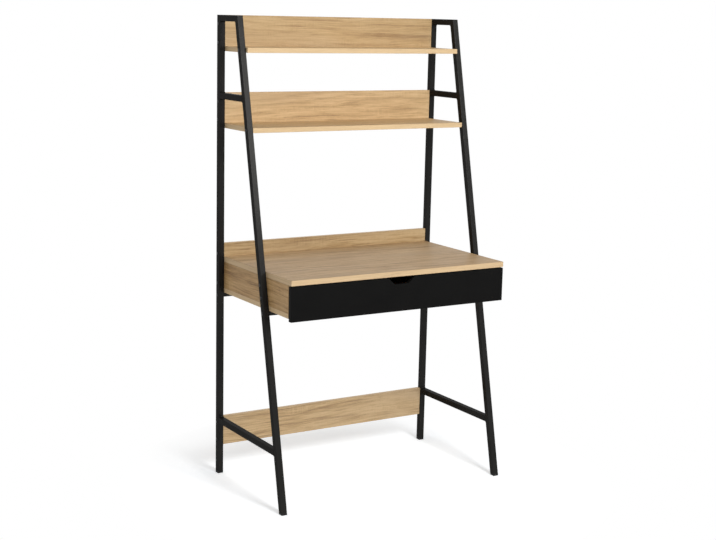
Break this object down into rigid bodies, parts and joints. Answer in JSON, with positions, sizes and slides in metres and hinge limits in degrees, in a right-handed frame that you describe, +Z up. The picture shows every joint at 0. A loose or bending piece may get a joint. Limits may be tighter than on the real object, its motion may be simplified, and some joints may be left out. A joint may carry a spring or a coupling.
{
  "type": "ladder desk",
  "caption": "Ladder desk with black square-tube side frames, leaning front legs, oak-look desktop, shelves and back boards, and a black drawer with a finger notch.",
  "frame": {"origin": "on the floor, under the middle of the outline seen from above: midway between the side frames, and midway between the legs' rear faces and the desktop's front edge", "axes": "+X to the right of a person who sits at the desk, +Y back towards the wall behind it, +Z up"},
  "size_m": [0.8532, 0.49, 1.55],
  "materials": {
    "frame_steel": "satin black powder coat on square steel tube",
    "foot_plastic": "matt black moulded plastic",
    "oak_laminate": "satin oak-look laminate on particle board, edges banded in the same finish",
    "drawer_board": "satin oak-look laminate on particle board",
    "drawer_sheet": "oak-look paper on hardboard",
    "front_lacquer": "matt black finish on a fibreboard front",
    "runner_steel": "white epoxy coat on folded sheet steel",
    "roller_nylon": "moulded nylon",
    "zinc_steel": "bright zinc plate",
    "black_bolts": "black oxide steel",
    "beech_dowel": "plain beech",
    "bumper_rubber": "soft translucent rubber"
  },
  "bodies": {
    "frame": {"board_screws": "black_bolts", "cabinet_roller_pins": "zinc_steel", "cabinet_runner_screws": "zinc_steel", "cam_bolts": "zinc_steel", "cam_locks": "zinc_steel", "carcass_bottom": "oak_laminate", "carcass_screws": "zinc_steel", "desk_back_board": "oak_laminate", "desktop": "oak_laminate", "drawer_bumpers": "bumper_rubber", "frame_bolts": "black_bolts", "front_desk_rail": "frame_steel", "left_cabinet_runner": "runner_steel", "left_carcass_side": "oak_laminate", "left_front_foot": "foot_plastic", "left_front_leg": "frame_steel", "left_lower_stretcher": "frame_steel", "left_rear_foot": "foot_plastic", "left_rear_leg": "frame_steel", "left_top_crosspiece": "frame_steel", "left_upper_crosspiece": "frame_steel", "lower_back_board": "oak_laminate", "middle_back_board": "oak_laminate", "middle_shelf": "oak_laminate", "rail_end_nuts": "zinc_steel", "rail_screws": "zinc_steel", "rear_desk_rail": "frame_steel", "right_cabinet_runner": "runner_steel", "right_carcass_side": "oak_laminate", "right_front_foot": "foot_plastic", "right_front_leg": "frame_steel", "right_lower_stretcher": "frame_steel", "right_rear_foot": "foot_plastic", "right_rear_leg": "frame_steel", "right_top_crosspiece": "frame_steel", "right_upper_crosspiece": "frame_steel", "side_inserts": "zinc_steel", "top_back_board": "oak_laminate", "top_shelf": "oak_laminate", "wood_dowels": "beech_dowel"},
    "drawer": {"drawer_back": "drawer_board", "drawer_bottom": "drawer_sheet", "drawer_cam_bolts": "zinc_steel", "drawer_cams": "zinc_steel", "drawer_dowels": "beech_dowel", "drawer_front": "front_lacquer", "drawer_left_side": "drawer_board", "drawer_right_side": "drawer_board", "drawer_roller_pins": "zinc_steel", "drawer_runner_screws": "zinc_steel", "drawer_screws": "zinc_steel", "left_drawer_runner": "runner_steel", "right_drawer_runner": "runner_steel"},
    "left_front_roller": {"left_front_roller": "roller_nylon"},
    "left_rear_roller": {"left_rear_roller": "roller_nylon"},
    "right_front_roller": {"right_front_roller": "roller_nylon"},
    "right_rear_roller": {"right_rear_roller": "roller_nylon"}
  },
  "joints": [
    {"name": "drawer_slide", "type": "slide", "parent": "frame", "child": "drawer", "axis": [0, -1, 0], "range_m": [0, 0.3]},
    {"name": "left_front_roller_turn", "type": "hinge", "parent": "frame", "child": "left_front_roller", "pos_m": [-0.3832, -0.215, 0.66], "axis": [1, 0, 0], "continuous": true},
    {"name": "left_rear_roller_turn", "type": "hinge", "parent": "drawer", "child": "left_rear_roller", "pos_m": [-0.3813, 0.161, 0.66], "axis": [1, 0, 0], "continuous": true},
    {"name": "right_front_roller_turn", "type": "hinge", "parent": "frame", "child": "right_front_roller", "pos_m": [0.3832, -0.215, 0.66], "axis": [1, 0, 0], "continuous": true},
    {"name": "right_rear_roller_turn", "type": "hinge", "parent": "drawer", "child": "right_rear_roller", "pos_m": [0.3813, 0.161, 0.66], "axis": [1, 0, 0], "continuous": true}
  ],
  "couplings": [
    {"joint": "left_front_roller_turn", "follows": "drawer_slide", "rad_per_m": 133.33},
    {"joint": "left_rear_roller_turn", "follows": "drawer_slide", "rad_per_m": 133.33},
    {"joint": "right_front_roller_turn", "follows": "drawer_slide", "rad_per_m": 133.33},
    {"joint": "right_rear_roller_turn", "follows": "drawer_slide", "rad_per_m": 133.33}
  ]
}
